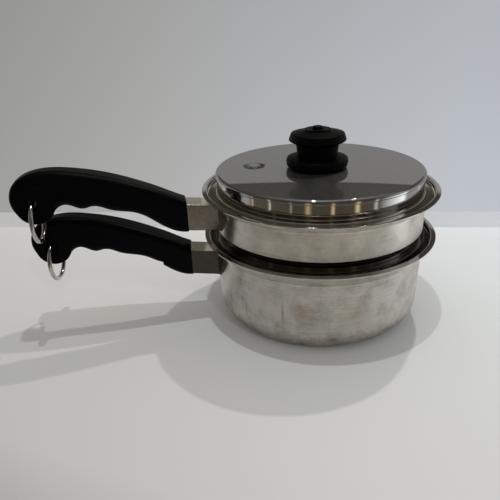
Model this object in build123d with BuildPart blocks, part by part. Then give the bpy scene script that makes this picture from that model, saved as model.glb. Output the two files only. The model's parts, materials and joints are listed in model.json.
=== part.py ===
from build123d import *
import os
from collections import namedtuple
from math import cos, hypot, radians, sin, tan

# Double boiler: a saucepan, an insert pan that stands in its rim, and a lid.
# Millimetres. The origin is the middle of the face that the lower pan rests on,
# +Z is up, and the lower handle points along -X.

# Body of both pans
pan_radius = 97.0  # outside of the lower pan's wall, at the flare
pan_height = 80.5  # outer edge of the lower rim above the resting face
sheet = 1.0
pan_floor = 2.6
wall_draft = 1.7  # how much narrower the lower wall is at its foot
pan_corner_radius = 20.0
wall_bend = 1.5  # radius of the crease where the flare starts

# Rim of both pans
flare_reach = 8.8  # from the lower wall out to the lip
lower_flare_drop = 12.3  # outer edge of the rim down to the crease
upper_flare_drop = 9.1
lip_overhang = 2.2
lip_width = 4.8  # outer edge in to the step inside
lip_rise = 1.2  # ridge above the outer edge
lip_thickness = 1.7  # underside of the lip below the outer edge
lip_edge = 0.45  # half the thickness of the lip's outer edge
lip_round = 1.0

# Insert pan
insert_undersize = 1.0  # upper wall inside the line of the lower wall
insert_rise = 48.1  # foot of the seat ring up to the insert's rim
insert_wall_depth = 34.1  # rim down to the shoulder
insert_depth = 78.0  # rim down to the insert's underside
insert_floor = 1.8
insert_corner_radius = 16.0
shoulder_drop = 3.4
shoulder_bend = 1.0
neck_play = 0.8  # between the neck and the lower wall's foot

# Seat ring under the insert's shoulder
seat_ring_width = 4.5
seat_ring_height = 5.9
seat_ring_sheet = 0.9
seat_foot_play = 2.2  # foot to the step inside the lower lip
seat_ring_leg = 4.6
seat_ring_bend = 0.7

# Lid
lid_inset = 8.5  # step inside the upper lip to the lid's edge
lid_rise = 20.3  # underside of the flange up to the top
lid_sheet = 0.9
lid_edge_radius = 2.4
lid_edge_depth = 3.6
lid_skirt_step = 0.7
lid_flange_play = 1.7
lid_flange_bend = 1.2

# Steam valve
valve_reach = 59.5  # from the middle of the lid
valve_turn = 166.6  # degrees round from +X
dish_radius = 10.8
dish_floor_radius = 7.6
dish_depth = 2.4
valve_cap_radius = 6.0
valve_cap_height = 2.8
valve_cap_round = 1.6
valve_stem_radius = 1.6
valve_retainer_radius = 3.6
valve_retainer_height = 1.0
valve_travel = 1.2

# Knob, in radii and in heights above the lid
knob_foot_radius = 22.0
knob_skirt_radius = 27.4
knob_skirt_height = 2.4
knob_flange_radius = 28.1
knob_flange_height = 5.8
knob_brow_radius = 27.4  # upper edge of the flange
knob_brow_height = 8.9
knob_flange_round = 1.4
knob_waist_radius = 17.7
knob_waist_height = 10.4
knob_neck_radius = 19.3
knob_neck_height = 21.2
knob_cap_radius = 26.0
knob_cap_height = 24.9
knob_shoulder_radius = 23.8
knob_shoulder_height = 30.9
knob_crown_height = 33.4
knob_edge_round = 1.2
plug_radius = 11.5
plug_rise = 1.2  # plug's face above the crown
plug_recess = 1.6
button_radius = 5.0
button_rise = 2.4
button_round = 1.9
insert_bush_radius = 6.0
insert_bush_length = 12.0
knob_screw_radius = 2.5
knob_screw_head_radius = 4.8
knob_screw_head_height = 2.6
knob_washer_radius = 6.2
knob_washer_height = 1.2
knob_offset = 1.6  # how far the knob stands off the lid's middle, towards the handles

# Bracket between a pan and its handle
lower_bracket_length = 14.0  # rim's edge out to the handle
upper_bracket_length = 15.6
bracket_width = 22.0
bracket_height = 24.4
bracket_rise = 26.9  # handle's lower front corner up to the bracket's top
bracket_slope = 7.0  # degrees, rising outwards
bracket_sheet = 1.3
bracket_end = 2.0
bracket_edge_round = 1.0
weld_plate_half_width = 31.0
weld_plate_sheet = 1.2
weld_plate_side = 6.0  # height of its straight sides
weld_plate_foot_half_width = 12.5
weld_plate_corner = 5.0

# Tang and its screw
tang_slope = 24.0  # degrees, following the handle
tang_length = 46.0
tang_width = 15.0
tang_thickness = 3.0
tang_start = 14.2  # above the lower front corner of the handle
screw_reach = 31.0  # along the tang
screw_radius = 2.5
screw_head_radius = 4.2
screw_head_height = 2.6
screw_grip = 7.6  # middle of the tang down to the washer's seat
screw_tip = 1.0
washer_radius = 4.2
washer_height = 1.0
washer_split = 1.2
drive_slot_width = 1.1
drive_slot_depth = 1.2

# Handle
handle_length = 143.6
handle_rise = 66.3  # lower front corner up to the highest point
handle_front_width = 22.0
handle_grip_width = 25.0
handle_end_width = 20.0
handle_edge_round = 5.5
bulb_boss_radius = 15.8
bulb_boss_rise = 0.6
bulb_boss_round = 0.5
lower_handle_drop = 37.2  # rim down to the handle's lower front corner
upper_handle_drop = 30.0
upper_handle_turn = 6.3  # degrees, how far the insert is turned in the lower pan
notch_length = 13.0
notch_slope = 19.0  # degrees

# Hanging ring
ring_radius = 18.15  # to the middle of the wire
ring_wire_radius = 1.95
ring_sag = 1.15  # top of the ring's centre line above the hole's axis
ring_hole_play = 1.65
ring_hole_flare = 2.2
ring_gap = 5.0  # degrees
ring_twist = 4.5  # degrees, round the upright through the hole
upper_ring_gap_turn = 0.0
lower_ring_gap_turn = 215.0

# Clearances
seat_gap = 0.3  # nested pieces at rest
weld_gap = 0.05  # welded and pressed pieces
screw_gap = 0.3
overrun = 5.0  # how far a cut runs past its piece

# The handle's outline, as shares of its length and its rise
handle_top_shares = (
    (0.0, 0.453), (0.060, 0.510), (0.130, 0.587), (0.234, 0.690), (0.370, 0.808),
    (0.504, 0.901), (0.636, 0.966), (0.766, 1.0), (0.867, 0.977), (0.932, 0.917),
    (0.977, 0.825), (0.996, 0.724), (1.0, 0.640),
)
handle_bottom_shares = (
    (0.989, 0.533), (0.965, 0.442), (0.922, 0.360), (0.880, 0.327), (0.830, 0.350),
    (0.768, 0.468), (0.727, 0.536), (0.693, 0.546), (0.630, 0.490), (0.596, 0.477),
    (0.560, 0.494), (0.527, 0.494), (0.462, 0.438), (0.394, 0.397), (0.326, 0.366),
    (0.259, 0.300), (0.193, 0.192), (0.125, 0.086), (0.053, 0.014), (0.0, 0.0),
)
# Where along the handle it is widest, and where its rounded end begins
handle_grip_share = 0.42
handle_end_share = 0.86
# Middle of the disc at the end, middle of the ring's hole, and start of the lower handle's notch
bulb_boss_shares = (0.863, 0.581)
ring_hole_shares = (0.878, 0.602)
notch_shares = (0.188, 0.258)

# Radii that follow from the sizes above
rim_radius = pan_radius + flare_reach + lip_overhang
lip_inside = rim_radius - lip_width
insert_wall_radius = pan_radius - insert_undersize
neck_radius = pan_radius - wall_draft - sheet - neck_play
seat_ring_radius = neck_radius + seat_ring_width
seat_foot_radius = lip_inside - seat_foot_play
lid_radius = lip_inside - lid_inset
lid_skirt_radius = lid_radius - lid_skirt_step
lid_flange_radius = lip_inside - lid_flange_play

Pan = namedtuple("Pan", "name rim wall flare_drop turn handle_drop bracket_length gap_turn")


def flare_slope(pan):
    """Rise of the flare for each unit that it runs outwards."""
    return (pan.flare_drop - lip_thickness) / (rim_radius - lip_overhang - pan.wall)


def flare_outside(pan, radius):
    """Height of the flare's outer face at a radius."""
    return pan.rim - pan.flare_drop + flare_slope(pan) * (radius - pan.wall)


def flare_inside(pan, radius):
    """Height of the flare's inner face at a radius."""
    return flare_outside(pan, radius) + sheet * hypot(1, flare_slope(pan))


def seated_on(pan, radius):
    """Height of an edge that rests in the flare at a radius."""
    return flare_inside(pan, radius) + seat_gap * hypot(1, flare_slope(pan))


lower = Pan("lower", pan_height, pan_radius, lower_flare_drop, 0,
            lower_handle_drop, lower_bracket_length, lower_ring_gap_turn)
seat_foot = seated_on(lower, seat_foot_radius)
insert_rim = seat_foot + insert_rise
upper = Pan("upper", insert_rim, insert_wall_radius, upper_flare_drop, upper_handle_turn,
            upper_handle_drop, upper_bracket_length, upper_ring_gap_turn)
lid_flange_under = seated_on(upper, lid_flange_radius)
lid_top = lid_flange_under + lid_rise
lid_under = lid_top - lid_sheet
dish_floor = lid_top - dish_depth
dish_under = dish_floor - lid_sheet


def outward(pan):
    """Direction in which a pan's handle points."""
    return Vector(-cos(radians(pan.turn)), -sin(radians(pan.turn)), 0)


def sideways(pan):
    """Direction across a pan's handle."""
    return Vector(sin(radians(pan.turn)), -cos(radians(pan.turn)), 0)


def side_plane(pan):
    """Upright plane along the middle of a handle: x is the radius, y the height."""
    return Plane(origin=(0, 0, 0), x_dir=outward(pan), z_dir=-sideways(pan))


def front_plane(pan):
    """Upright plane across a handle, facing outwards: y is the height."""
    return Plane(origin=(0, 0, 0), x_dir=sideways(pan), z_dir=outward(pan))


def handle_corner(pan):
    """Height of the handle's lower front corner."""
    return pan.rim - pan.handle_drop


def reach(pan):
    """Radius at which the bracket ends and the handle begins."""
    return rim_radius + pan.bracket_length


def on_handle(pan, shares):
    """Radius and height of a point given in shares of the handle's length and rise."""
    return (reach(pan) + shares[0] * handle_length, handle_corner(pan) + shares[1] * handle_rise)


def tang_axis(pan, along, across=0):
    """Radius and height of a point along the tang, and across it towards its upper face."""
    slope = radians(tang_slope)
    radius = reach(pan) + along * cos(slope) - across * sin(slope)
    height = handle_corner(pan) + tang_start + along * sin(slope) + across * cos(slope)
    return (radius, height)


def screw_plane(pan, across):
    """Plane square to the tang's screw, at a distance from the middle of the tang."""
    radius, height = tang_axis(pan, screw_reach, across)
    origin = side_plane(pan).from_local_coords(Vector(radius, height, 0))
    slope = radians(tang_slope)
    down = Vector(0, 0, -cos(slope)) + outward(pan) * sin(slope)
    return Plane(origin=origin, x_dir=sideways(pan), z_dir=down)


def finish(piece, name, place=Location()):
    """Put a finished piece in its place, label it and write its file."""
    solid = piece.part.moved(place)
    solid.label = name
    export_step(solid, f"parts/{name}.step")


def rim_points(pan):
    """Corners of a rim from the outer crease over the lip to the inner crease, with radii."""
    edge = rim_radius - lip_overhang
    inside = pan.wall - sheet
    return [
        ((pan.wall, flare_outside(pan, pan.wall)), wall_bend),
        ((edge, flare_outside(pan, edge)), 0),
        ((rim_radius, pan.rim - lip_edge), lip_edge),
        ((rim_radius, pan.rim + lip_edge), lip_edge),
        ((lip_inside, pan.rim + lip_rise), lip_round),
        ((lip_inside, flare_inside(pan, lip_inside)), lip_round),
        ((inside, flare_inside(pan, inside)), wall_bend),
    ]


def turned(corners):
    """Closed outline of a turned piece, drawn as radius and height, with a radius for each corner."""
    with BuildSketch(Plane.XZ) as outline:
        with BuildLine():
            FilletPolyline([point for point, bend in corners], radius=[bend for point, bend in corners],
                           close=True)
        make_face()
    return outline.sketch


def build_lower_pan():
    """Saucepan: flat base, slightly tapered wall and flared rim."""
    foot = pan_radius - wall_draft
    with BuildPart() as lower_pan:
        add(turned(
            [((0, 0), 0), ((foot, 0), pan_corner_radius)]
            + rim_points(lower)
            + [((foot - sheet, pan_floor), pan_corner_radius - pan_floor), ((0, pan_floor), 0)]
        ))
        revolve(axis=Axis.Z)
    finish(lower_pan, "lower_pan")


def build_upper_pan():
    """Insert: the same rim, a short wide wall, a shoulder and a neck that stands in the lower pan."""
    shoulder = upper.rim - insert_wall_depth
    under = upper.rim - insert_depth
    with BuildPart() as upper_pan:
        add(turned(
            [
                ((0, under), 0),
                ((neck_radius, under), insert_corner_radius),
                ((neck_radius, shoulder - shoulder_drop), shoulder_bend),
                ((insert_wall_radius, shoulder), shoulder_bend),
            ]
            + rim_points(upper)
            + [
                ((insert_wall_radius - sheet, shoulder), shoulder_bend),
                ((neck_radius - sheet, shoulder - shoulder_drop), shoulder_bend),
                ((neck_radius - sheet, under + insert_floor), insert_corner_radius - insert_floor),
                ((0, under + insert_floor), 0),
            ]
        ))
        revolve(axis=Axis.Z)
    finish(upper_pan, "upper_pan")


def build_insert_seat_ring():
    """Rolled ring round the insert's neck: its foot rests in the lower pan's flare."""
    inside = neck_radius + weld_gap
    top = seat_foot + seat_ring_height
    skirt = seat_ring_radius - seat_ring_sheet
    with BuildPart() as insert_seat_ring:
        add(turned([
            ((inside, top - seat_ring_leg), 0),
            ((inside, top), seat_ring_bend),
            ((seat_ring_radius, top), seat_ring_bend),
            ((seat_ring_radius, seat_foot + seat_ring_sheet), 0),
            ((seat_foot_radius, seat_foot + seat_ring_sheet), 0),
            ((seat_foot_radius, seat_foot), 0),
            ((skirt, seat_foot), 0),
            ((skirt, top - seat_ring_sheet), 0),
            ((inside + seat_ring_sheet, top - seat_ring_sheet), 0),
            ((inside + seat_ring_sheet, top - seat_ring_leg), 0),
        ]))
        revolve(axis=Axis.Z)
    finish(insert_seat_ring, "insert_seat_ring")


def knob_place():
    """Where the knob's axis stands on the lid."""
    return Location((-knob_offset, 0, 0))


def valve_plane():
    """Upright plane through the valve's axis: x is the distance from it, y the height."""
    turn = radians(valve_turn)
    return Plane(origin=(valve_reach * cos(turn), valve_reach * sin(turn), 0), x_dir=(1, 0, 0),
                 z_dir=(0, -1, 0))


def valve_axis():
    """The valve's upright axis."""
    return Axis(valve_plane().origin, (0, 0, 1))


def build_lid_shell():
    """Lid: flat top, rounded edge, straight skirt and a flange that rests in the upper flare."""
    edge_under = lid_top - lid_edge_depth
    skirt_inside = lid_skirt_radius - lid_sheet
    flange_top = lid_flange_under + lid_sheet
    with BuildPart() as lid_shell:
        add(turned([
            ((0, lid_top), 0),
            ((lid_radius, lid_top), lid_edge_radius),
            ((lid_radius, edge_under), lid_skirt_step / 2),
            ((lid_skirt_radius, edge_under - lid_skirt_step), 0),
            ((lid_skirt_radius, flange_top), lid_flange_bend),
            ((lid_flange_radius, flange_top), 0),
            ((lid_flange_radius, lid_flange_under), 0),
            ((skirt_inside, lid_flange_under), lid_flange_bend),
            ((skirt_inside, lid_under), lid_edge_radius - lid_sheet),
            ((0, lid_under), 0),
        ]))
        revolve(axis=Axis.Z)
        with BuildSketch(valve_plane()):
            with BuildLine():
                Polyline((0, lid_under), (0, dish_under), (dish_floor_radius, dish_under),
                         (dish_radius, lid_under), close=True)
            make_face()
        revolve(axis=valve_axis())
        with BuildSketch(valve_plane()):
            with BuildLine():
                Polyline((0, lid_top + overrun), (0, dish_floor), (dish_floor_radius, dish_floor),
                         (dish_radius, lid_top), (dish_radius, lid_top + overrun), close=True)
            make_face()
        revolve(axis=valve_axis(), mode=Mode.SUBTRACT)
        with BuildSketch(Plane.XY.offset(dish_under)):
            with Locations(valve_plane().origin):
                Circle(valve_stem_radius + seat_gap)
        extrude(amount=dish_depth + lid_sheet, mode=Mode.SUBTRACT)
        with BuildSketch(Plane.XY.offset(lid_under)):
            with Locations(knob_place()):
                Circle(knob_screw_radius + screw_gap)
        extrude(amount=lid_sheet, mode=Mode.SUBTRACT)
    finish(lid_shell, "lid_shell")


def build_valve():
    """Steam valve: a domed cap in the dish, its stem through the lid, and a clip below."""
    origin = valve_plane().origin
    cap_under = dish_floor + seat_gap
    clip_top = dish_under - valve_travel - seat_gap
    with BuildPart() as valve_cap:
        with BuildSketch(Plane.XY.offset(cap_under)):
            with Locations(origin):
                Circle(valve_cap_radius)
        extrude(amount=valve_cap_height)
        fillet(valve_cap.faces().sort_by(Axis.Z)[-1].edges(), valve_cap_round)
    finish(valve_cap, "valve_cap")
    with BuildPart() as valve_stem:
        with BuildSketch(Plane.XY.offset(clip_top - valve_retainer_height)):
            with Locations(origin):
                Circle(valve_stem_radius)
        extrude(amount=cap_under - clip_top + valve_retainer_height)
    finish(valve_stem, "valve_stem")
    with BuildPart() as valve_retainer:
        with BuildSketch(Plane.XY.offset(clip_top)):
            with Locations(origin):
                Circle(valve_retainer_radius)
                Circle(valve_stem_radius + weld_gap, mode=Mode.SUBTRACT)
        extrude(amount=-valve_retainer_height)
    finish(valve_retainer, "valve_retainer")


def build_knob():
    """Knob: heat guard, grip, centre plug, threaded bush, and the screw and washer under the lid."""
    bush_under = lid_top + knob_waist_height
    crown = lid_top + knob_crown_height
    recess = crown - plug_recess
    with BuildPart() as knob_base:
        add(turned([
            ((0, lid_top), 0),
            ((knob_foot_radius, lid_top), 0),
            ((knob_skirt_radius, lid_top + knob_skirt_height), knob_flange_round / 2),
            ((knob_flange_radius, lid_top + knob_flange_height), 0),
            ((knob_brow_radius, lid_top + knob_brow_height), knob_flange_round),
            ((knob_waist_radius, lid_top + knob_waist_height), 0),
            ((0, lid_top + knob_waist_height), 0),
        ]))
        revolve(axis=Axis.Z)
        with BuildSketch(Plane.XY.offset(lid_top)):
            Circle(knob_screw_radius + screw_gap)
        extrude(amount=knob_waist_height, mode=Mode.SUBTRACT)
    finish(knob_base, "knob_base", knob_place())
    with BuildPart() as knob_grip:
        add(turned([
            ((0, bush_under), 0),
            ((knob_waist_radius, bush_under), 0),
            ((knob_neck_radius, lid_top + knob_neck_height), 0),
            ((knob_cap_radius, lid_top + knob_cap_height), knob_edge_round),
            ((knob_shoulder_radius, lid_top + knob_shoulder_height), knob_edge_round),
            ((plug_radius + weld_gap, crown), 0),
            ((plug_radius + weld_gap, recess), 0),
            ((0, recess), 0),
        ]))
        revolve(axis=Axis.Z)
        with BuildSketch(Plane.XY.offset(bush_under)):
            Circle(insert_bush_radius + weld_gap)
        extrude(amount=insert_bush_length, mode=Mode.SUBTRACT)
    finish(knob_grip, "knob_grip", knob_place())
    with BuildPart() as knob_plug:
        with BuildSketch(Plane.XY.offset(recess)):
            Circle(plug_radius)
        extrude(amount=plug_recess + plug_rise)
        with BuildSketch(Plane.XY.offset(crown + plug_rise)):
            Circle(button_radius)
        extrude(amount=button_rise)
        fillet(knob_plug.faces().sort_by(Axis.Z)[-1].edges(), button_round)
    finish(knob_plug, "knob_plug", knob_place())
    with BuildPart() as knob_insert:
        with BuildSketch(Plane.XY.offset(bush_under)):
            Circle(insert_bush_radius)
            Circle(knob_screw_radius + weld_gap, mode=Mode.SUBTRACT)
        extrude(amount=insert_bush_length)
    finish(knob_insert, "knob_insert", knob_place())
    with BuildPart() as knob_washer:
        with BuildSketch(Plane.XY.offset(lid_under)):
            Circle(knob_washer_radius)
            Circle(knob_screw_radius + screw_gap, mode=Mode.SUBTRACT)
        extrude(amount=-knob_washer_height)
    finish(knob_washer, "knob_washer", knob_place())
    seat = lid_under - knob_washer_height
    with BuildPart() as knob_screw:
        with BuildSketch(Plane.XY.offset(seat)):
            Circle(knob_screw_head_radius)
        extrude(amount=-knob_screw_head_height)
        with BuildSketch(Plane.XY.offset(seat)):
            Circle(knob_screw_radius)
        extrude(amount=bush_under + insert_bush_length - screw_tip - seat)
        with BuildSketch(Plane.XY.offset(seat - knob_screw_head_height)):
            Rectangle(2 * knob_screw_head_radius, drive_slot_width)
            Rectangle(drive_slot_width, 2 * knob_screw_head_radius)
        extrude(amount=drive_slot_depth, mode=Mode.SUBTRACT)
    finish(knob_screw, "knob_screw", knob_place())


def foot_radius(pan):
    """Outside of a pan's wall, carried down to its foot."""
    return pan.wall - (wall_draft if pan is lower else 0)


def pan_envelope(pan):
    """Solid that a pan's outside fills, with the welding gap, down to the resting face."""
    edge = rim_radius - lip_overhang
    with BuildPart() as envelope:
        add(turned([
            ((0, 0), 0),
            ((foot_radius(pan) + weld_gap, 0), 0),
            ((pan.wall + weld_gap, flare_outside(pan, pan.wall) - weld_gap), wall_bend),
            ((edge + weld_gap, flare_outside(pan, edge) - weld_gap), 0),
            ((rim_radius + weld_gap, pan.rim - lip_edge - weld_gap), 0),
            ((rim_radius + weld_gap, pan.rim + lip_rise), 0),
            ((0, pan.rim + lip_rise), 0),
        ]))
        revolve(axis=Axis.Z)
    return envelope.part


def bracket_height_at(pan, radius):
    """Height of the bracket's upper face at a radius."""
    rise = tan(radians(bracket_slope)) * (reach(pan) - radius)
    return handle_corner(pan) + bracket_rise - rise


def bracket_side(pan, inset, start, end):
    """Side view of the bracket's box between two radii, with its sheet taken off."""
    drop = inset - bracket_height
    return [
        (start, bracket_height_at(pan, start) + drop), (end, bracket_height_at(pan, end) + drop),
        (end, bracket_height_at(pan, end) - inset), (start, bracket_height_at(pan, start) - inset),
    ]


def plate_front(pan, top):
    """Front view of half the weld plate, from its straight side to its foot."""
    foot = bracket_height_at(pan, pan.wall) - bracket_height
    return [
        (0, top), (weld_plate_half_width, top), (weld_plate_half_width, top - weld_plate_side),
        (weld_plate_foot_half_width, foot), (0, foot),
    ]


def bracket_box(pan):
    """Box of the bracket, still solid, with its four long folds rounded."""
    with BuildPart() as box:
        with BuildSketch(side_plane(pan)):
            with BuildLine():
                Polyline(*bracket_side(pan, 0, pan.wall - overrun, reach(pan)), close=True)
            make_face()
        extrude(amount=bracket_width / 2, both=True)
        fillet(box.edges().group_by(SortBy.LENGTH)[-1], bracket_edge_round)
    return box.part


def build_bracket(pan):
    """Folded box between pan and handle, with a plate welded to the pan's wall."""
    plate_top = flare_outside(pan, pan.wall) - weld_gap
    with BuildPart() as bracket:
        add(turned([
            ((0, 0), 0),
            ((foot_radius(pan) + weld_plate_sheet, 0), 0),
            ((pan.wall + weld_plate_sheet, plate_top), 0),
            ((0, plate_top), 0),
        ]))
        revolve(axis=Axis.Z)
        with BuildSketch(front_plane(pan)):
            with BuildLine():
                FilletPolyline(plate_front(pan, plate_top), radius=[0, 0, weld_plate_corner, 0, 0],
                               close=True)
            make_face()
            mirror(about=Plane.YZ)
        extrude(amount=rim_radius, mode=Mode.INTERSECT)
        add(bracket_box(pan))
        with BuildSketch(side_plane(pan)):
            with BuildLine():
                Polyline(*bracket_side(pan, bracket_sheet, 0, reach(pan) - bracket_end), close=True)
            make_face()
        extrude(amount=bracket_width / 2 - bracket_sheet, both=True, mode=Mode.SUBTRACT)
        add(pan_envelope(pan), mode=Mode.SUBTRACT)
    finish(bracket, f"{pan.name}_bracket")


def tang_side(pan, gap, length):
    """Side view of the tang, or of its socket, from the bracket's end."""
    half = tang_thickness / 2 + gap
    far_low = tang_axis(pan, length, -half)
    far_high = tang_axis(pan, length, half)
    rise = half / cos(radians(tang_slope))
    start = handle_corner(pan) + tang_start
    return [(reach(pan), start - rise), far_low, far_high, (reach(pan), start + rise)]


def build_tang(pan):
    """Flat bar welded to the bracket's end, with a tapped hole for the handle's screw."""
    with BuildPart() as tang:
        with BuildSketch(side_plane(pan)):
            with BuildLine():
                Polyline(*tang_side(pan, 0, tang_length), close=True)
            make_face()
        extrude(amount=tang_width / 2, both=True)
        with BuildSketch(screw_plane(pan, 0)):
            Circle(screw_radius + weld_gap)
        extrude(amount=tang_thickness, both=True, mode=Mode.SUBTRACT)
    finish(tang, f"{pan.name}_tang")


def build_handle_screw(pan):
    """Cross-head screw from the underside of the handle up through the tang."""
    seat = -screw_grip - washer_height
    with BuildPart() as handle_screw:
        with BuildSketch(screw_plane(pan, seat)):
            Circle(screw_head_radius)
        extrude(amount=screw_head_height)
        with BuildSketch(screw_plane(pan, seat)):
            Circle(screw_radius)
        extrude(amount=seat - tang_thickness / 2 - screw_tip)
        with BuildSketch(screw_plane(pan, seat - screw_head_height)):
            Rectangle(2 * screw_head_radius, drive_slot_width)
            Rectangle(drive_slot_width, 2 * screw_head_radius)
        extrude(amount=-drive_slot_depth, mode=Mode.SUBTRACT)
    finish(handle_screw, f"{pan.name}_handle_screw")


def build_lock_washer(pan):
    """Split spring washer under the screw's head."""
    with BuildPart() as lock_washer:
        with BuildSketch(screw_plane(pan, -screw_grip)):
            Circle(washer_radius)
            Circle(screw_radius + screw_gap, mode=Mode.SUBTRACT)
            with Locations((washer_radius, 0)):
                Rectangle(2 * washer_radius, washer_split, mode=Mode.SUBTRACT)
        extrude(amount=washer_height)
    finish(lock_washer, f"{pan.name}_lock_washer")


def handle_half_widths(pan):
    """Plan of half the handle: distances along it with half its width there."""
    start = reach(pan)
    return [
        (start, handle_front_width / 2),
        (start + handle_grip_share * handle_length, handle_grip_width / 2),
        (start + handle_end_share * handle_length, handle_end_width / 2),
        (start + handle_length + overrun, handle_end_width / 2),
    ]


def bulb_boss(pan):
    """Disc with rounded edges, a little wider than the end of the handle."""
    with BuildPart() as disc:
        with BuildSketch(side_plane(pan)):
            with Locations(on_handle(pan, bulb_boss_shares)):
                Circle(bulb_boss_radius)
        extrude(amount=handle_end_width / 2 + bulb_boss_rise, both=True)
        ends = disc.faces().filter_by(GeomType.PLANE)
        fillet(ends.edges(), bulb_boss_round)
    return disc.part


def moulding(pan):
    """Body of the handle: side view and plan crossed, with rounded edges and a disc at its end."""
    with BuildPart() as body:
        with BuildSketch(side_plane(pan)):
            with BuildLine():
                Spline(*[on_handle(pan, shares) for shares in handle_top_shares + handle_bottom_shares])
                Line(on_handle(pan, handle_bottom_shares[-1]), on_handle(pan, handle_top_shares[0]))
            make_face()
        extrude(amount=handle_grip_width, both=True)
        with BuildSketch(Plane.XY.rotated((0, 0, 180 + pan.turn))):
            with BuildLine():
                half = handle_half_widths(pan)
                Spline(*half[:3], tangents=((1, 0), (1, 0)), tangent_scalars=(0.5, 0.5))
                Line(half[2], half[3])
                Line(half[3], (half[3][0], 0))
                Line((half[3][0], 0), (half[0][0], 0))
                Line((half[0][0], 0), half[0])
            make_face()
            mirror(about=Plane.XZ)
        extrude(amount=pan.rim + handle_rise, mode=Mode.INTERSECT)
        curved = body.edges().filter_by(GeomType.BSPLINE)
        fillet([edge for edge in curved if abs(edge.center().dot(sideways(pan))) > seat_gap],
               handle_edge_round)
        add(bulb_boss(pan))
    return body.part


def build_handle(pan):
    """Moulded handle: hollowed for the tang and its screw, and bored for the ring."""
    with BuildPart() as handle:
        add(moulding(pan))
        add(ring_bore(pan), mode=Mode.SUBTRACT)
        with BuildSketch(side_plane(pan)):
            with BuildLine():
                Polyline(*tang_side(pan, screw_gap, tang_length + screw_gap), close=True)
            make_face()
        extrude(amount=tang_width / 2 + screw_gap, both=True, mode=Mode.SUBTRACT)
        with BuildSketch(screw_plane(pan, tang_thickness / 2 + screw_tip + screw_gap)):
            Circle(screw_radius + screw_gap)
        extrude(amount=tang_thickness + screw_grip, mode=Mode.SUBTRACT)
        with BuildSketch(screw_plane(pan, -screw_grip)):
            Circle(washer_radius + screw_gap)
        extrude(amount=handle_rise, mode=Mode.SUBTRACT)
        if pan is lower:
            add(notch(pan), mode=Mode.SUBTRACT)
    finish(handle, f"{pan.name}_handle")


def ring_bore(pan):
    """Cutter for the ring's hole, which opens out at both mouths."""
    radius, height = on_handle(pan, ring_hole_shares)
    centre = side_plane(pan).from_local_coords(Vector(radius, height, 0))
    bore = ring_wire_radius + ring_hole_play
    mouth = handle_end_width / 2 + bulb_boss_rise
    with BuildPart() as cut:
        with BuildSketch(Plane(origin=centre, x_dir=sideways(pan), z_dir=outward(pan))):
            with BuildLine():
                Polyline((0, 0), (0, bore), (mouth - ring_hole_flare, bore),
                         (mouth + overrun, bore + ring_hole_flare + overrun), (mouth + overrun, 0),
                         close=True)
            make_face()
        revolve(axis=Axis(centre, sideways(pan)))
        mirror(about=side_plane(pan))
    return cut.part


def notch(pan):
    """Seat for the screw's head, cut across the underside of the handle."""
    radius, height = on_handle(pan, notch_shares)
    rise = notch_length * tan(radians(notch_slope))
    with BuildPart() as cut:
        with BuildSketch(side_plane(pan)):
            with BuildLine():
                Polyline((radius, height), (radius + notch_length, height + rise),
                         (radius + notch_length, height - notch_length),
                         (radius, height - notch_length), close=True)
            make_face()
        extrude(amount=handle_grip_width, both=True)
    return cut.part


def build_hanging_ring(pan):
    """Open wire ring that hangs in the hole at the handle's end, a little twisted."""
    radius, height = on_handle(pan, ring_hole_shares)
    centre = side_plane(pan).from_local_coords(Vector(radius, height + ring_sag - ring_radius, 0))
    facing = outward(pan).rotate(Axis.Z, -ring_twist)
    across = sideways(pan).rotate(Axis.Z, -ring_twist)
    turn = radians(pan.gap_turn)
    start = across * sin(turn) - Vector(0, 0, cos(turn))
    with BuildPart() as hanging_ring:
        with BuildSketch(Plane(origin=centre, x_dir=facing, z_dir=facing.cross(start))):
            with Locations((0, ring_radius)):
                Circle(ring_wire_radius)
        revolve(axis=Axis(centre, facing), revolution_arc=360 - ring_gap)
    finish(hanging_ring, f"{pan.name}_hanging_ring")


os.makedirs("parts", exist_ok=True)
build_lower_pan()
build_upper_pan()
build_insert_seat_ring()
build_lid_shell()
build_valve()
build_knob()
for each_pan in (lower, upper):
    build_bracket(each_pan)
    build_tang(each_pan)
    build_handle_screw(each_pan)
    build_lock_washer(each_pan)
    build_handle(each_pan)
    build_hanging_ring(each_pan)
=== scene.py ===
import json
import math

import bmesh
import bpy
from mathutils import Matrix, Vector


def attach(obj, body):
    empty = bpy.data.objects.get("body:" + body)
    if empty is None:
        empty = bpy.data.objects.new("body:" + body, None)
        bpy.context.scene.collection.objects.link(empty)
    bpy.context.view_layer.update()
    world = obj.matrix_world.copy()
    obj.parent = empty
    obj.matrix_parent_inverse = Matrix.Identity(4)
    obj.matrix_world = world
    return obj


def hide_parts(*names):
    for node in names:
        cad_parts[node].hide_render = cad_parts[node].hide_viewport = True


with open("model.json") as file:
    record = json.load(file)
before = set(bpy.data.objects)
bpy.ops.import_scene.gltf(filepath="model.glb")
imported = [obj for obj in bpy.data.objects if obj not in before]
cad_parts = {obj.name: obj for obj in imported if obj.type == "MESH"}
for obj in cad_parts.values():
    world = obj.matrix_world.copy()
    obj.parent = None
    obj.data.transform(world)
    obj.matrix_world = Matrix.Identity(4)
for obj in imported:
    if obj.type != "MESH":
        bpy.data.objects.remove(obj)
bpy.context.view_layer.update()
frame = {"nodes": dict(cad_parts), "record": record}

MM = 0.001
SPIN_STEPS = 224
BEND_SEGMENTS = 6
MERGE_GAP = 0.00001
COPY_MERGE_GAP = 0.000002
FINE_RELIEF = 0.0002
SCRATCH_RELIEF = 0.0005

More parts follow.
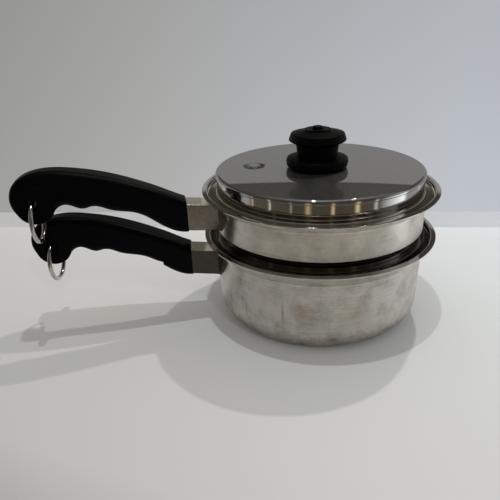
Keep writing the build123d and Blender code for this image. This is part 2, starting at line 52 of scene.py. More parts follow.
# Sizes that the pans share, in millimetres as in the part
RIM_RADIUS = 108.0
LIP_INSIDE = 103.2
LIP_EDGE = 0.45
LIP_RISE = 1.2
LIP_BEND = 1.0
LIP_THICKNESS = 1.7
LIP_OVERHANG = 2.2
SHEET = 1.0
THIN_SHEET = 0.9
WALL_BEND = 1.5
SEAT_GAP = 0.3
SEAT_RING_REACH = 101.0
LID_FLANGE_REACH = 101.5
INSERT_RIM_ABOVE_SEAT = 48.1
LID_HEIGHT = 20.3
VALVE_RADIUS = 59.5
VALVE_BEARING = math.radians(166.6)

# Places of the finishes in the material lists of a pan, the lid and a bracket
WALL, RIM, INSIDE, BASE = range(4)
MIRROR, SKIRT = range(2)
TOP, SIDE = range(2)


class Pan:
    """Rim height, wall radius and flare of one pan."""

    def __init__(self, rim, wall, flare_drop):
        self.rim = rim
        self.wall = wall
        self.flare_drop = flare_drop

    def slope(self):
        return (self.flare_drop - LIP_THICKNESS) / (RIM_RADIUS - LIP_OVERHANG - self.wall)

    def outside(self, radius):
        return self.rim - self.flare_drop + self.slope() * (radius - self.wall)

    def inside(self, radius):
        return self.outside(radius) + SHEET * math.hypot(1, self.slope())

    def seat(self, radius):
        return self.inside(radius) + SEAT_GAP * math.hypot(1, self.slope())


lower = Pan(80.5, 97.0, 12.3)
seat_foot = lower.seat(SEAT_RING_REACH)
upper = Pan(seat_foot + INSERT_RIM_ABOVE_SEAT, 96.0, 9.1)
lid_flange_under = upper.seat(LID_FLANGE_REACH)
lid_top = lid_flange_under + LID_HEIGHT
valve_at = Vector((math.cos(VALVE_BEARING), math.sin(VALVE_BEARING), 0)) * VALVE_RADIUS * MM


# Making meshes

def put_in_scene(name, data):
    """Object with some data, linked to the scene."""
    item = bpy.data.objects.new(name, data)
    bpy.context.scene.collection.objects.link(item)
    return item


def new_piece(name, bm):
    """Object at the origin whose mesh comes from a bmesh in metres."""
    mesh = bpy.data.meshes.new(name)
    bm.to_mesh(mesh)
    bm.free()
    return put_in_scene(name, mesh)


def rim_corners(pan):
    """Corners of a rim from the outer crease over the lip to the inner crease."""
    edge = RIM_RADIUS - LIP_OVERHANG
    inside = pan.wall - SHEET
    return [
        (pan.wall, pan.outside(pan.wall), WALL_BEND),
        (edge, pan.outside(edge), LIP_BEND / 2),
        (RIM_RADIUS, pan.rim - LIP_EDGE, LIP_EDGE),
        (RIM_RADIUS, pan.rim + LIP_EDGE, LIP_EDGE),
        (LIP_INSIDE, pan.rim + LIP_RISE, LIP_BEND),
        (LIP_INSIDE, pan.inside(LIP_INSIDE), LIP_BEND),
        (inside, pan.inside(inside), WALL_BEND),
    ]


def draw_profile(bm, corners, closed=True, segments=BEND_SEGMENTS):
    """Chain of edges in the XZ plane through corners (radius, height, bend), bends rounded."""
    count = len(corners)
    chain = [bm.verts.new((radius * MM, 0, height * MM)) for radius, height, _ in corners]
    for i in range(count if closed else count - 1):
        bm.edges.new((chain[i], chain[(i + 1) % count]))
    for i, (radius, height, bend) in enumerate(corners):
        if not bend or (not closed and i in (0, count - 1)):
            continue
        here = Vector((radius, height))
        before = (Vector(corners[i - 1][:2]) - here).normalized()
        after = (Vector(corners[(i + 1) % count][:2]) - here).normalized()
        half = before.angle(after) / 2
        bmesh.ops.bevel(
            bm, geom=[chain[i]], offset=bend / math.tan(half) * MM, offset_type="OFFSET",
            affect="VERTICES", segments=segments, profile=0.5, material=-1,
            clamp_overlap=False)


def close_up(bm):
    """Merge what coincides and point the faces outwards."""
    bmesh.ops.remove_doubles(bm, verts=bm.verts, dist=MERGE_GAP)
    bmesh.ops.dissolve_degenerate(bm, edges=bm.edges, dist=MERGE_GAP)
    bmesh.ops.recalc_face_normals(bm, faces=bm.faces)


def spin_profile(bm):
    """Turn everything drawn so far about the pans' upright axis."""
    bmesh.ops.spin(
        bm, geom=bm.verts[:] + bm.edges[:], cent=(0, 0, 0), axis=(0, 0, 1), dvec=(0, 0, 0),
        angle=math.tau, steps=SPIN_STEPS, use_merge=True, use_normal_flip=False,
        use_duplicate=False)
    close_up(bm)


def smooth_shade(piece, crease=34):
    """Smooth shading, with edges sharp where the surface turns by more than the crease."""
    bm = bmesh.new()
    bm.from_mesh(piece.data)
    for face in bm.faces:
        face.smooth = True
    limit = math.radians(crease)
    for edge in bm.edges:
        if len(edge.link_faces) == 2:
            edge.smooth = edge.calc_face_angle(0) < limit
    bm.to_mesh(piece.data)
    bm.free()
    even = piece.modifiers.new("even normals", "WEIGHTED_NORMAL")
    even.keep_sharp = True
    even.weight = 60
    return piece


def stand_for(piece, node, material_slot, *materials):
    """Put a finished piece in a node's place, on its body, with its finish."""
    bodies = frame["record"]["behaviour"]["bodies"]
    body = next(name for name, nodes in bodies.items() if node in nodes)
    for material in materials:
        piece.data.materials.append(material)
    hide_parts(node)
    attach(piece, body)
    return piece


# Node trees

BLACK = (0, 0, 0, 1)


def grey(value):
    return (value, value, value, 1)


def scaled_colour(colour, factor):
    return tuple(channel * factor for channel in colour[:3]) + (1,)


class Tree:
    """Nodes of a material or of the world, with short ways to add to them."""

    def __init__(self, tree):
        self.nodes = tree.nodes
        self.links = tree.links

    def feed(self, socket, value):
        """Link an input to a socket, or set it to a plain value."""
        if isinstance(value, bpy.types.NodeSocket):
            self.links.new(value, socket)
        else:
            socket.default_value = value

    def add(self, kind, inputs=None, **settings):
        """Node with some of its properties set, and its inputs fed by name or number."""
        node = self.nodes.new("ShaderNode" + kind)
        for key, value in settings.items():
            setattr(node, key, value)
        for key, value in (inputs or {}).items():
            self.feed(node.inputs[key], value)
        return node

    def math(self, operation, *values):
        return self.add("Math", dict(enumerate(values)), operation=operation).outputs[0]

    def vector_math(self, operation, *values):
        return self.add("VectorMath", dict(enumerate(values)), operation=operation).outputs[0]

    def length(self, vector):
        return self.add("VectorMath", {0: vector}, operation="LENGTH").outputs["Value"]

    def split(self, vector):
        return self.add("SeparateXYZ", {0: vector}).outputs[:]

    def join(self, x, y):
        return self.add("CombineXYZ", {"X": x, "Y": y}).outputs[0]

    def noise(self, where, scale, detail, roughness=0.5):
        inputs = {"Vector": where, "Scale": scale, "Detail": detail, "Roughness": roughness}
        return self.add("TexNoise", inputs).outputs["Fac"]

    def remap(self, value, low=0.0, high=1.0, to_low=0.0, to_high=1.0):
        return self.add("MapRange", {
            "Value": value, "From Min": low, "From Max": high, "To Min": to_low,
            "To Max": to_high}).outputs["Result"]

    def mix(self, factor, first, second, blend="MIX"):
        """Mix of two colours, each a socket or a value."""
        node = self.add("Mix", data_type="RGBA", blend_type=blend)
        for index, value in ((0, factor), (6, first), (7, second)):
            self.feed(node.inputs[index], value)
        return node.outputs[2]

    def mix_shader(self, factor, first, second):
        return self.add("MixShader", {0: factor, 1: first, 2: second}).outputs[0]

    def ramp(self, source, stops):
        """Colour ramp through stops of position and colour."""
        node = self.add("ValToRGB", {"Fac": source})
        band = node.color_ramp
        while len(band.elements) < len(stops):
            band.elements.new(0.5)
        for element, (position, colour) in zip(band.elements, stops):
            element.position = position
            element.color = colour
        return node.outputs["Color"]


class Finish(Tree):
    """Material with one Principled shader and coordinates in metres on the object."""

    def __init__(self, name):
        self.material = bpy.data.materials.new(name)
        self.material.use_nodes = True
        super().__init__(self.material.node_tree)
        self.shader = self.nodes["Principled BSDF"]
        self.where = self.add("TexCoord").outputs["Object"]

    def dress(self, **inputs):
        """Feed inputs of the shader, named with _ for each space."""
        for key, value in inputs.items():
            self.feed(self.shader.inputs[key.replace("_", " ")], value)

    def dent(self, height, strength, relief):
        """Bump of the surface by a pattern, with its full depth in metres."""
        bump = self.add("Bump", {"Height": height, "Strength": strength, "Distance": relief})
        self.dress(Normal=bump.outputs[0])


# Finishes of the steel and the mouldings

def groove_coordinates(finish, around, up):
    """Coordinates that run round the upright axis and up it, each with its own scale."""
    x, y, z = finish.split(finish.where)
    turn = finish.math("ARCTAN2", y, x)
    along = finish.math("ADD", z, finish.length(finish.join(x, y)))
    return finish.join(finish.math("MULTIPLY", turn, around), finish.math("MULTIPLY", along, up))


def mark(finish, colour, centre, size, tint):
    """Tint a colour round a place in mm, within a ragged ellipsoid of a size in mm."""
    offset = finish.vector_math("SUBTRACT", finish.where, [value * MM for value in centre])
    scaled = finish.vector_math("DIVIDE", offset, [value * MM for value in size])
    ragged = finish.noise(finish.where, scale=170.0, detail=5.0, roughness=0.65)
    spread = finish.math("MULTIPLY_ADD", ragged, 1.6, finish.length(scaled))
    inside = finish.remap(spread, 2.0, 0.9)
    return finish.mix(inside, colour, finish.mix(1.0, colour, tint, "MULTIPLY"))


def turned_steel(name, colour, roughness, anisotropy, streak, stain, bump, blotch=38.0,
                 marks_and_shade=()):
    """Steel with fine grooves round the axis, faint blotches and worn patches, and any marks
    given, which can hold painted shade.
    """
    finish = Finish(name)
    grooves = groove_coordinates(finish, around=3.0, up=1100.0)
    lines = finish.noise(grooves, scale=1.0, detail=3.0, roughness=0.6)
    blotches = finish.noise(finish.where, scale=blotch, detail=6.0, roughness=0.62)
    spots = finish.ramp(blotches, [(0.30, scaled_colour(colour, 1 - stain)), (0.56, colour)])
    tone = finish.ramp(lines, [(0.3, grey(1 - streak)), (0.7, grey(1.0))])
    skin = finish.mix(1.0, spots, tone, "MULTIPLY")
    for centre, size, tint in marks_and_shade:
        skin = mark(finish, skin, centre, size, tint)
    rough = finish.remap(blotches, to_low=roughness * 0.85, to_high=roughness * 1.2)
    tangent = finish.add("Tangent", direction_type="RADIAL", axis="Z").outputs[0]
    finish.dress(Base_Color=skin, Roughness=rough, Metallic=1.0, Anisotropic=anisotropy,
                 Anisotropic_Rotation=0.25, Tangent=tangent)
    finish.dent(lines, bump, FINE_RELIEF)
    return finish.material


def polished_steel(name, colour, roughness, haze, scale=160.0, bump=0.02):
    """Mirror-polished steel with faint wipe marks and fine scratches."""
    finish = Finish(name)
    wiped = finish.add("Mapping", {
        "Vector": finish.where, "Scale": (1.0, 0.25, 1.0), "Rotation": (0, 0, 0.7)})
    scratches = finish.noise(wiped.outputs[0], scale, detail=5.0, roughness=0.6)
    rough = finish.remap(scratches, 0.35, 0.75, roughness, roughness + haze)
    finish.dress(Base_Color=colour, Roughness=rough, Metallic=1.0)
    finish.dent(scratches, bump, SCRATCH_RELIEF)
    return finish.material


def lid_mirror():
    """Hazy steel under a clear mirror, so that the lid mirrors sharply and glows softly."""
    material = polished_steel(
        "mirror lid steel", grey(0.12), roughness=0.45, haze=0.12, scale=90.0, bump=0.0)
    shader = material.node_tree.nodes["Principled BSDF"]
    shader.inputs["Coat Weight"].default_value = 1.0
    shader.inputs["Coat IOR"].default_value = 3.4
    shader.inputs["Coat Roughness"].default_value = 0.012
    return material


def black_phenolic(name, colour, roughness, gloss, grain=900.0, bump=0.15):
    """Satin black moulding with a fine skin and dusty, slightly worn patches."""
    finish = Finish(name)
    skin = finish.noise(finish.where, scale=grain, detail=3.0)
    wear = finish.noise(finish.where, scale=24.0, detail=5.0, roughness=0.65)
    dusty = finish.ramp(wear, [(0.45, colour), (0.8, scaled_colour(colour, 2.2))])
    rough = finish.remap(wear, to_low=roughness * 0.8, to_high=roughness * 1.25)
    finish.dress(Base_Color=dusty, Roughness=rough, Specular_IOR_Level=gloss)
    finish.dent(skin, bump, FINE_RELIEF)
    return finish.material


# Scratches, a water stain, worn places, and a band at the lower pan's foot that is partly stain
# and partly painted shade of the shadowed table that the foot mirrors: centre in mm, size in mm
# and tint
WALL_MARKS_AND_FOOT_SHADE = [
    ((-47.5, -84.0, 38.0), (1.1, 1.1, 14.0), (0.60, 0.54, 0.49, 1)),
    ((-33.0, -90.8, 42.0), (11.0, 8.0, 10.0), (0.80, 0.70, 0.63, 1)),
    ((-76.0, -59.0, 32.0), (1.2, 1.2, 6.0), (0.55, 0.48, 0.42, 1)),
    ((12.0, -95.0, 38.0), (14.0, 10.0, 14.0), (0.84, 0.79, 0.74, 1)),
    # Foot band: stain and painted shade, where the foot mirrors the shadowed table
    ((0.0, 0.0, 0.0), (400.0, 400.0, 20.0), (0.44, 0.39, 0.34, 1)),
]

wall_steel = turned_steel(
    "brushed wall steel", (0.80, 0.762, 0.70, 1), roughness=0.28, anisotropy=1.0,
    streak=0.26, stain=0.36, bump=0.08, blotch=60.0, marks_and_shade=WALL_MARKS_AND_FOOT_SHADE)
# Insert wall: brighter steel than the lower wall's, painted light for the brighter room the
# upper wall mirrors
brightened_insert_steel = turned_steel(
    "brushed insert steel with painted light", (0.98, 0.93, 0.84, 1), roughness=0.36, anisotropy=0.85,
    streak=0.24, stain=0.30, bump=0.08, blotch=60.0)
inside_steel = turned_steel(
    "inner pan steel", (0.56, 0.54, 0.51, 1), roughness=0.22, anisotropy=0.5,
    streak=0.10, stain=0.10, bump=0.05)
base_steel = turned_steel(
    "base steel", (0.50, 0.48, 0.45, 1), roughness=0.36, anisotropy=0.6,
    streak=0.2, stain=0.3, bump=0.12)
rim_steel = polished_steel(
    "polished rim steel", (0.60, 0.58, 0.545, 1), roughness=0.05, haze=0.06)
lid_steel = lid_mirror()
skirt_steel = polished_steel(
    "bright skirt steel", (0.62, 0.60, 0.56, 1), roughness=0.04, haze=0.04,
    scale=90.0, bump=0.004)
# Seat ring: steel made near black, painted shade for the dark gap between the pans
shaded_ring_steel = polished_steel(
    "seat ring steel in painted shade", (0.10, 0.095, 0.088, 1), roughness=0.12, haze=0.08)
bracket_steel = polished_steel(
    "satin bracket steel", (0.92, 0.87, 0.76, 1), roughness=0.20, haze=0.10,
    scale=260.0, bump=0.01)
# Bracket sides: darker copies of the bracket steel, painted shade and dark reflection, darkest
# on the lower bracket
bracket_shade_steels = {
    "lower": polished_steel(
        "lower bracket side in painted shade", (0.075, 0.064, 0.052, 1), roughness=0.26, haze=0.12,
        scale=260.0),
    "upper": polished_steel(
        "upper bracket side in painted shade", (0.22, 0.19, 0.16, 1), roughness=0.24, haze=0.12,
        scale=260.0),
}
wire_steel = polished_steel(
    "bright wire", (0.60, 0.59, 0.57, 1), roughness=0.16, haze=0.12,
    scale=300.0, bump=0.04)
screw_steel = polished_steel(
    "screw steel", (0.55, 0.54, 0.52, 1), roughness=0.25, haze=0.15,
    scale=400.0, bump=0.05)
brass = polished_steel(
    "brass bush", (0.70, 0.53, 0.25, 1), roughness=0.25, haze=0.15,
    scale=400.0, bump=0.05)
handle_black = black_phenolic(
    "black handle moulding", (0.0010, 0.0010, 0.0012, 1), roughness=0.40, gloss=0.06)
knob_black = black_phenolic(
    "black knob moulding", (0.0012, 0.0012, 0.0014, 1), roughness=0.46, gloss=0.07,
    grain=700.0, bump=0.30)


# Pans

def paint_pan(piece, pan, wall_low, bottom):
    """Give the faces of a pan their finish: wall, rim, inside and base."""
    neck_low = seat_foot - 2 if bottom else wall_low
    crease = pan.rim - pan.flare_drop - 0.6
    base_high = bottom + 8
    for face in piece.data.polygons:
        centre, normal = face.center, face.normal
        height = centre.z / MM
        outside = normal.x * centre.x + normal.y * centre.y > 0
        if height > crease:
            finish = WALL if outside and normal.z < -0.3 else RIM
        elif outside and height > wall_low:
            finish = WALL
        elif outside and height > neck_low:
            finish = RIM
        elif normal.z < -0.4 and height < base_high:
            finish = BASE
        else:
            finish = WALL if outside else INSIDE
        face.material_index = finish


def build_lower_pan():
    """Saucepan with a tapered wall and flared rim."""
    foot = lower.wall - 1.7
    floor = 2.6
    corner = 20.0
    bm = bmesh.new()
    draw_profile(bm, [
        (0, 0, 0), (foot, 0, corner), *rim_corners(lower),
        (foot - SHEET, floor, corner - floor), (0, floor, 0)], segments=10)
    spin_profile(bm)
    piece = smooth_shade(new_piece("saucepan", bm))
    stand_for(piece, "lower_pan", "brushed_steel",
              wall_steel, rim_steel, inside_steel, base_steel)
    paint_pan(piece, lower, 6.0, 0)


def build_upper_pan():
    """Insert pan: the same rim, a wide wall, a shoulder and a neck."""
    neck = 93.5
    shoulder = upper.rim - 34.1
    neck_top = shoulder - 3.4
    shoulder_bend = 1.0
    under = upper.rim - 78.0
    floor = 1.8
    corner = 16.0
    bm = bmesh.new()
    draw_profile(bm, [
        (0, under, 0), (neck, under, corner), (neck, neck_top, shoulder_bend),
        (upper.wall, shoulder, shoulder_bend), *rim_corners(upper),
        (upper.wall - SHEET, shoulder, shoulder_bend),
        (neck - SHEET, neck_top, shoulder_bend),
        (neck - SHEET, under + floor, corner - floor), (0, under + floor, 0)])
    spin_profile(bm)
    piece = smooth_shade(new_piece("insert_pan", bm))
    stand_for(piece, "upper_pan", "brushed_steel",
              brightened_insert_steel, rim_steel, inside_steel, base_steel)
    paint_pan(piece, upper, shoulder + 0.8, under)


def build_seat_ring():
    """Rolled ring under the insert's shoulder."""
    inside = 93.55
    outside = 98.0
    top = seat_foot + 5.9
    hem = top - 4.6
    foot_top = seat_foot + THIN_SHEET
    bm = bmesh.new()
    draw_profile(bm, [
        (inside, hem, 0), (inside, top, 0.7), (outside, top, 0.7), (outside, foot_top, 0.3),
        (SEAT_RING_REACH, foot_top, 0.3), (SEAT_RING_REACH, seat_foot, 0.3),
        (outside - THIN_SHEET, seat_foot, 0), (outside - THIN_SHEET, top - THIN_SHEET, 0),
        (inside + THIN_SHEET, top - THIN_SHEET, 0), (inside + THIN_SHEET, hem, 0)],
        segments=4)
    spin_profile(bm)
    piece = smooth_shade(new_piece("seat_ring", bm))
    # The ring's near-black steel is painted shade
    stand_for(piece, "insert_seat_ring", "bright_steel", shaded_ring_steel)


# Lid

def flat_top_with_dish(bm, edge_radius, height, dish):
    """Flat plate from an edge circle in to the valve's dish, rings of (radius, depth)."""
    def circle(radius, level, centre):
        place = Matrix.Translation(centre + Vector((0, 0, level * MM)))
        made = bmesh.ops.create_circle(
            bm, cap_ends=False, radius=radius * MM, segments=SPIN_STEPS, matrix=place)
        return list({edge for vert in made["verts"] for edge in vert.link_edges})
    rings = [circle(edge_radius, height, Vector())]
    rings += [circle(radius, height - depth, valve_at) for radius, depth in dish]
    for outer, inner in zip(rings, rings[1:]):
        bmesh.ops.bridge_loops(bm, edges=outer + inner)


def build_lid_shell():
    """Lid with a flat mirror top, straight skirt, flange and the valve's dish."""
    edge = 94.7
    bead_foot = lid_top - 3.6
    bead_root = lid_top - 4.3
    skirt = 94.0
    flat_above = edge - 2.8
    flat_under = edge - 4.2
    under = lid_top - THIN_SHEET
    flange_top = lid_flange_under + THIN_SHEET
    dish_radius = 10.8
    floor_radius = 7.6
    hole_radius = 1.9
    dish_depth = 2.4
    bm = bmesh.new()
    draw_profile(bm, [
        (flat_above, lid_top, 0), (edge, lid_top, 2.4), (edge, bead_foot, 0.35),
        (skirt, bead_root, 0.35), (skirt, flange_top, 1.2),
        (LID_FLANGE_REACH, flange_top, 0.2), (LID_FLANGE_REACH, lid_flange_under, 0.2),
        (skirt - THIN_SHEET, lid_flange_under, 1.2), (skirt - THIN_SHEET, under, 1.5),
        (flat_under, under, 0)], closed=False, segments=8)
    spin_profile(bm)
    flat_top_with_dish(bm, flat_above, lid_top, [
        (dish_radius, 0), (10.5, 0.12), (8.0, 2.2), (floor_radius, dish_depth),
        (hole_radius, dish_depth), (hole_radius, dish_depth + THIN_SHEET)])
    flat_top_with_dish(bm, flat_under, under, [
        (dish_radius, 0), (floor_radius, dish_depth), (hole_radius, dish_depth)])
    close_up(bm)
    piece = smooth_shade(new_piece("lid", bm), crease=50)
    stand_for(piece, "lid_shell", "polished_steel", lid_steel, skirt_steel)
    top_low = lid_top - 2.9
    for face in piece.data.polygons:
        on_top = face.center.z / MM > top_low and face.normal.z > -0.5
        face.material_index = MIRROR if on_top else SKIRT


# Pieces that keep the shape of their node

def smooth_copy(name, node, slot, material):
    """Merged copy of a node's mesh with smooth shading, in the node's place."""
    bm = bmesh.new()
    bm.from_mesh(frame["nodes"][node].data)
    bmesh.ops.remove_doubles(bm, verts=bm.verts, dist=COPY_MERGE_GAP)
    bmesh.ops.recalc_face_normals(bm, faces=bm.faces)
    piece = smooth_shade(new_piece(name, bm), crease=28)
    return stand_for(piece, node, slot, material)


def build_handle(tier):
    """Grip, bracket and hanging ring of the lower or upper pan."""
    smooth_copy(f"{tier}_grip", f"{tier}_handle", "black_phenolic", handle_black)
    bracket = smooth_copy(
        f"{tier}_box_bracket", f"{tier}_bracket", "bracket_steel", bracket_steel)
    # Sides get the darker copy, painted shade; the tops keep the bright steel
    bracket.data.materials.append(bracket_shade_steels[tier])
    for face in bracket.data.polygons:
        face.material_index = TOP if face.normal.z > 0.5 else SIDE
    smooth_copy(f"{tier}_wire_ring", f"{tier}_hanging_ring", "ring_wire", wire_steel)


build_lower_pan()
build_upper_pan()
build_seat_ring()
build_lid_shell()
build_handle("lower")
build_handle("upper")
for node in ("knob_base", "knob_grip", "knob_plug"):
    smooth_copy(f"{node}_turned", node, "black_phenolic", knob_black)
smooth_copy("valve_cap_turned", "valve_cap", "polished_steel", lid_steel)
for material, nodes in (
        (bracket_steel, ("lower_tang", "upper_tang")),
        (brass, ("knob_insert",)),
        (screw_steel, (
            "lower_handle_screw", "upper_handle_screw", "lower_lock_washer",
            "upper_lock_washer", "knob_screw", "knob_washer", "valve_stem",
            "valve_retainer"))):
    for node in nodes:
        hidden = frame["nodes"][node]
        hidden.data.materials.clear()
        hidden.data.materials.append(material)


# Table and wall, in metres

TABLE_HALF_WIDTH = 1.9
TABLE_HALF_DEPTH = 1.2
FAR_EDGE = 0.198
FAR_TURN = Matrix.Rotation(math.radians(-10.65), 3, "Z")
UPSTAND_HEIGHT = 0.020
UPSTAND_LEAN = 0.005
MIRRORED_REACH = 0.37

# Painted light on the upstand: brighter and cooler to the right
UPSTAND_PAINTED_LIGHT = [(0.0, (0.80, 0.80, 0.80, 1)), (1.0, (0.90, 0.93, 0.96, 1))]
# Painted light on the table: darker to the near left, brighter and cooler to the far right
TABLE_LIGHT_FALLOFF = [
    (0.0, (0.48, 0.475, 0.47, 1)), (0.12, (0.62, 0.61, 0.60, 1)),
    (0.3, (0.715, 0.70, 0.68, 1)), (0.45, (0.76, 0.76, 0.75, 1)),
    (0.7, (0.82, 0.85, 0.86, 1)), (1.0, (0.83, 0.865, 0.88, 1)),
]


def white_upstand():
    """Matt white with painted light, a little brighter and cooler to the right."""
    finish = Finish("white upstand")
    x = finish.split(finish.where)[0]
    finish.dress(Base_Color=finish.ramp(finish.remap(x, -0.45, 0.35), UPSTAND_PAINTED_LIGHT),
                 Roughness=0.7)
    return finish.material


def white_table():
    """White top with painted light, darker to the near left and brighter to the far right, that
    metal mirrors only near the pans.
    """
    finish = Finish("white table")
    x, y, _ = finish.split(finish.where)
    # Painted light falloff across the top, and painted shade in the near left corner
    across = finish.math("ADD", x, finish.math("MULTIPLY_ADD", y, 0.8, 0.5))
    corner = finish.remap(finish.math("MULTIPLY_ADD", y, 2.0, x), -0.66, -0.575, to_low=0.88)
    tone = finish.mix(1.0, finish.ramp(across, TABLE_LIGHT_FALLOFF), corner, "MULTIPLY")
    finish.dress(Base_Color=tone, Roughness=0.55, Specular_IOR_Level=0.3)
    beyond = finish.math("GREATER_THAN", finish.length(finish.where), MIRRORED_REACH)
    mirrored = finish.add("LightPath").outputs["Is Glossy Ray"]
    surface = finish.mix_shader(
        finish.math("MULTIPLY", mirrored, beyond), finish.shader.outputs[0],
        finish.add("BsdfTransparent").outputs[0])
    finish.feed(finish.nodes["Material Output"].inputs["Surface"], surface)
    return finish.material


def stage_piece(name, bm, material):
    """Turn a mesh about the far edge as the wall stands, and stage it."""
    bmesh.ops.rotate(bm, cent=(0, FAR_EDGE, 0), matrix=FAR_TURN, verts=bm.verts)
    piece = new_piece(name, bm)
    piece.data.materials.append(material)


def build_table():
    """Table top with an upstand where the wall stands in the photograph."""
    bm = bmesh.new()
    bmesh.ops.create_grid(bm, x_segments=2, y_segments=2, size=1.0)
    bmesh.ops.scale(bm, vec=(TABLE_HALF_WIDTH, TABLE_HALF_DEPTH, 1), verts=bm.verts)
    bmesh.ops.translate(bm, vec=(0, -TABLE_HALF_DEPTH + FAR_EDGE, 0), verts=bm.verts)
    stage_piece("table_top", bm, white_table())
    bm = bmesh.new()
    back = FAR_EDGE + UPSTAND_LEAN
    bm.faces.new([bm.verts.new(place) for place in (
        (-TABLE_HALF_WIDTH, FAR_EDGE, 0), (TABLE_HALF_WIDTH, FAR_EDGE, 0),
        (TABLE_HALF_WIDTH, back, UPSTAND_HEIGHT), (-TABLE_HALF_WIDTH, back, UPSTAND_HEIGHT))])
    stage_piece("wall_upstand", bm, white_upstand())


# Room: the wall that the camera sees and what the metal mirrors

# Wall from left to right, and its level from low to high
WALL_TONES = [
    (0.0, (0.265, 0.262, 0.256, 1)), (0.5, (0.375, 0.375, 0.372, 1)),
    (1.0, (0.445, 0.47, 0.505, 1)),
]
WALL_LEVELS = [(0.0, grey(1.18)), (1.0, grey(0.96))]
# Soft light from all round, for surfaces that don't mirror
ROOM_GLOW = (0.51, 0.508, 0.50, 1)
# Mirrored behind the pans: pale wall up to an edge, and brown above it
PALE_WALL = (0.375, 0.372, 0.36, 1)
BROWN_ABOVE = [
    (0.64, (0.055, 0.048, 0.036, 1)), (0.85, (0.07, 0.062, 0.05, 1)),
    (1.0, (0.20, 0.195, 0.18, 1)),
]
# Mirrored in front of the pans: a dim room by height, with the levels of its lamps
DIM_ROOM = [
    (0.0, (0.07, 0.06, 0.05, 1)), (0.42, (0.045, 0.037, 0.028, 1)),
    (0.56, (0.022, 0.018, 0.014, 1)), (0.70, (0.035, 0.031, 0.025, 1)),
    (1.0, (0.16, 0.155, 0.145, 1)),
]
LAMP_LEVELS = [
    (0.12, grey(0.35)), (0.24, grey(1.0)), (0.36, grey(1.0)), (0.46, grey(0.45)),
    (0.72, grey(0.45)), (0.88, grey(0.0)),
]
# Windows and lamps: bearing from -Y towards +X, width in degrees, colour
ROOM_LIGHTS = [
    (-104, 4, (0.40, 0.38, 0.34, 1)), (-87, 3, (0.55, 0.53, 0.48, 1)),
    (-65, 3, (0.90, 0.88, 0.80, 1)), (-41, 3, (0.35, 0.33, 0.28, 1)),
    (-23, 8, (0.52, 0.42, 0.20, 1)), (3, 5, (0.75, 0.60, 0.32, 1)),
    (29, 7, (0.85, 0.72, 0.42, 1)), (50, 6, (0.60, 0.62, 0.62, 1)),
    (92, 76, (1.45, 1.55, 1.68, 1)),
]
# What lies between them: bearing and colour
ROOM_TONES = [
    (-180, (0.10, 0.09, 0.08, 1)), (-120, (0.05, 0.045, 0.04, 1)),
    (-95, (0.07, 0.061, 0.047, 1)), (-62, (0.055, 0.047, 0.036, 1)),
    (-40, (0.03, 0.026, 0.02, 1)), (12, (0.03, 0.026, 0.02, 1)),
    (44, (0.05, 0.046, 0.04, 1)), (110, (0.22, 0.23, 0.24, 1)),
    (180, (0.25, 0.25, 0.25, 1)),
]


def share_of_turn(bearing):
    return 0.5 + bearing / 360


def lamp_stops():
    """Stops of a ramp round the room that rises to each lamp's colour and falls again."""
    stops = [(0.0, BLACK)]
    for bearing, width, colour in ROOM_LIGHTS:
        stops += [(share_of_turn(bearing - width / 2), BLACK),
                  (share_of_turn(bearing), colour),
                  (share_of_turn(bearing + width / 2), BLACK)]
    return stops


def mirrored_room(room, x, y, z):
    """Colour that metal mirrors in a direction: wall behind the pans, dim room in front."""
    height = room.remap(z, -1.0, 1.0)
    wall_edge = room.remap(z, 0.2995, 0.3010)
    behind = room.mix(wall_edge, PALE_WALL, room.ramp(height, BROWN_ABOVE))
    bearing = room.math("ARCTAN2", x, room.math("MULTIPLY", y, -1.0))
    around = room.remap(bearing, -math.pi, math.pi)
    tones = room.ramp(around, [(share_of_turn(turn), colour) for turn, colour in ROOM_TONES])
    streaks = room.mix(1.0, tones, room.ramp(around, lamp_stops()), "ADD")
    lit = room.mix(1.0, room.ramp(height, LAMP_LEVELS), streaks, "MULTIPLY")
    in_front = room.mix(1.0, room.ramp(height, DIM_ROOM), lit, "ADD")
    return room.mix(room.remap(y, -0.06, 0.06), in_front, behind)


def build_room():
    """World: the wall for the camera, the room for metal and plain soft light for the rest."""
    world = bpy.data.worlds.new("room")
    bpy.context.scene.world = world
    world.use_nodes = True
    room = Tree(world.node_tree)
    room.nodes.clear()
    x, y, z = room.split(room.add("TexCoord").outputs["Generated"])
    wall = room.mix(1.0, room.ramp(room.remap(x, -0.55, 0.45), WALL_TONES),
                    room.ramp(room.remap(z, -0.35, 0.05), WALL_LEVELS), "MULTIPLY")
    path = room.add("LightPath").outputs
    glow, mirrored, seen = (
        room.add("Background", {"Color": colour}).outputs[0]
        for colour in (ROOM_GLOW, mirrored_room(room, x, y, z), wall))
    unseen = room.mix_shader(path["Is Glossy Ray"], glow, mirrored)
    surface = room.mix_shader(path["Is Camera Ray"], unseen, seen)
    room.add("OutputWorld", {"Surface": surface})


# Lamps and camera

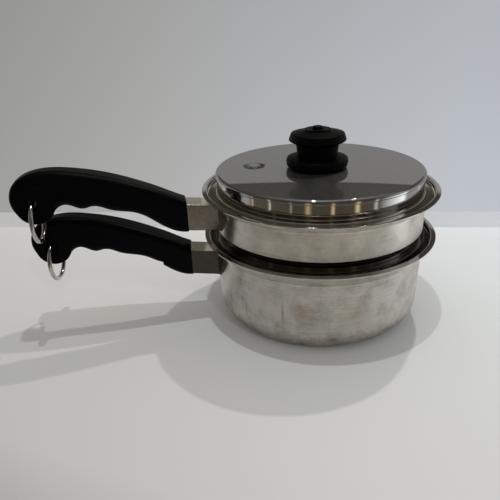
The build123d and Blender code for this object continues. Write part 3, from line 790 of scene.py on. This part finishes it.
CAMERA_PLACE = Vector((-103.1, -451.8, 271.2)) * MM
CAMERA_PITCH = math.radians(24.88)
CAMERA_ROLL = math.radians(-2.21)
CAMERA_HEADING = math.radians(4.7)
FOCAL_PIXELS = 515.2
PHOTO_PIXELS = 500
SENSOR_WIDTH = 36.0


def build_sun(name, lean, energy, size, colour):
    """Distant lamp whose shadows fall by lean (x, y) for each unit of height."""
    lamp = bpy.data.lights.new(name, "SUN")
    lamp.energy = energy
    lamp.angle = size
    lamp.color = colour
    sun = put_in_scene(name, lamp)
    sun.visible_glossy = False
    sun.rotation_euler = Vector((*lean, -1)).to_track_quat("-Z", "Y").to_euler()


def build_bulb(name, place, energy, radius, colour):
    """Round lamp at a place in metres."""
    lamp = bpy.data.lights.new(name, "POINT")
    lamp.energy = energy
    lamp.shadow_soft_size = radius
    lamp.color = colour
    put_in_scene(name, lamp).location = place


def build_camera():
    """Camera at the photograph's place."""
    lens = bpy.data.cameras.new("photo_camera")
    lens.sensor_width = SENSOR_WIDTH
    lens.lens = FOCAL_PIXELS / PHOTO_PIXELS * SENSOR_WIDTH
    lens.clip_start = 0.01
    camera = put_in_scene("photo_camera", lens)
    level = Vector((math.sin(CAMERA_HEADING), math.cos(CAMERA_HEADING), 0))
    down = Vector((0, 0, -1))
    forward = level * math.cos(CAMERA_PITCH) + down * math.sin(CAMERA_PITCH)
    right = Vector((level.y, -level.x, 0))
    up = right.cross(forward)
    rolled_right = right * math.cos(CAMERA_ROLL) + up * math.sin(CAMERA_ROLL)
    rolled_up = up * math.cos(CAMERA_ROLL) - right * math.sin(CAMERA_ROLL)
    axes = Matrix((rolled_right, rolled_up, -forward)).transposed().to_4x4()
    camera.matrix_world = Matrix.Translation(CAMERA_PLACE) @ axes
    bpy.context.scene.camera = camera


build_table()
build_room()
build_bulb("overhead_lamp", (-0.07, -0.08, 1.35), energy=13.0, radius=0.012,
           colour=(0.94, 0.98, 1.0))
build_bulb("back_lamp", (0.60, 0.65, 1.80), energy=32.0, radius=0.025,
           colour=(1.0, 0.955, 0.88))
build_sun("front_lamp", (-0.45, 1.2), energy=0.20, size=0.05, colour=(0.92, 0.96, 1.0))
build_camera()
bpy.context.scene.view_settings.view_transform = "Standard"
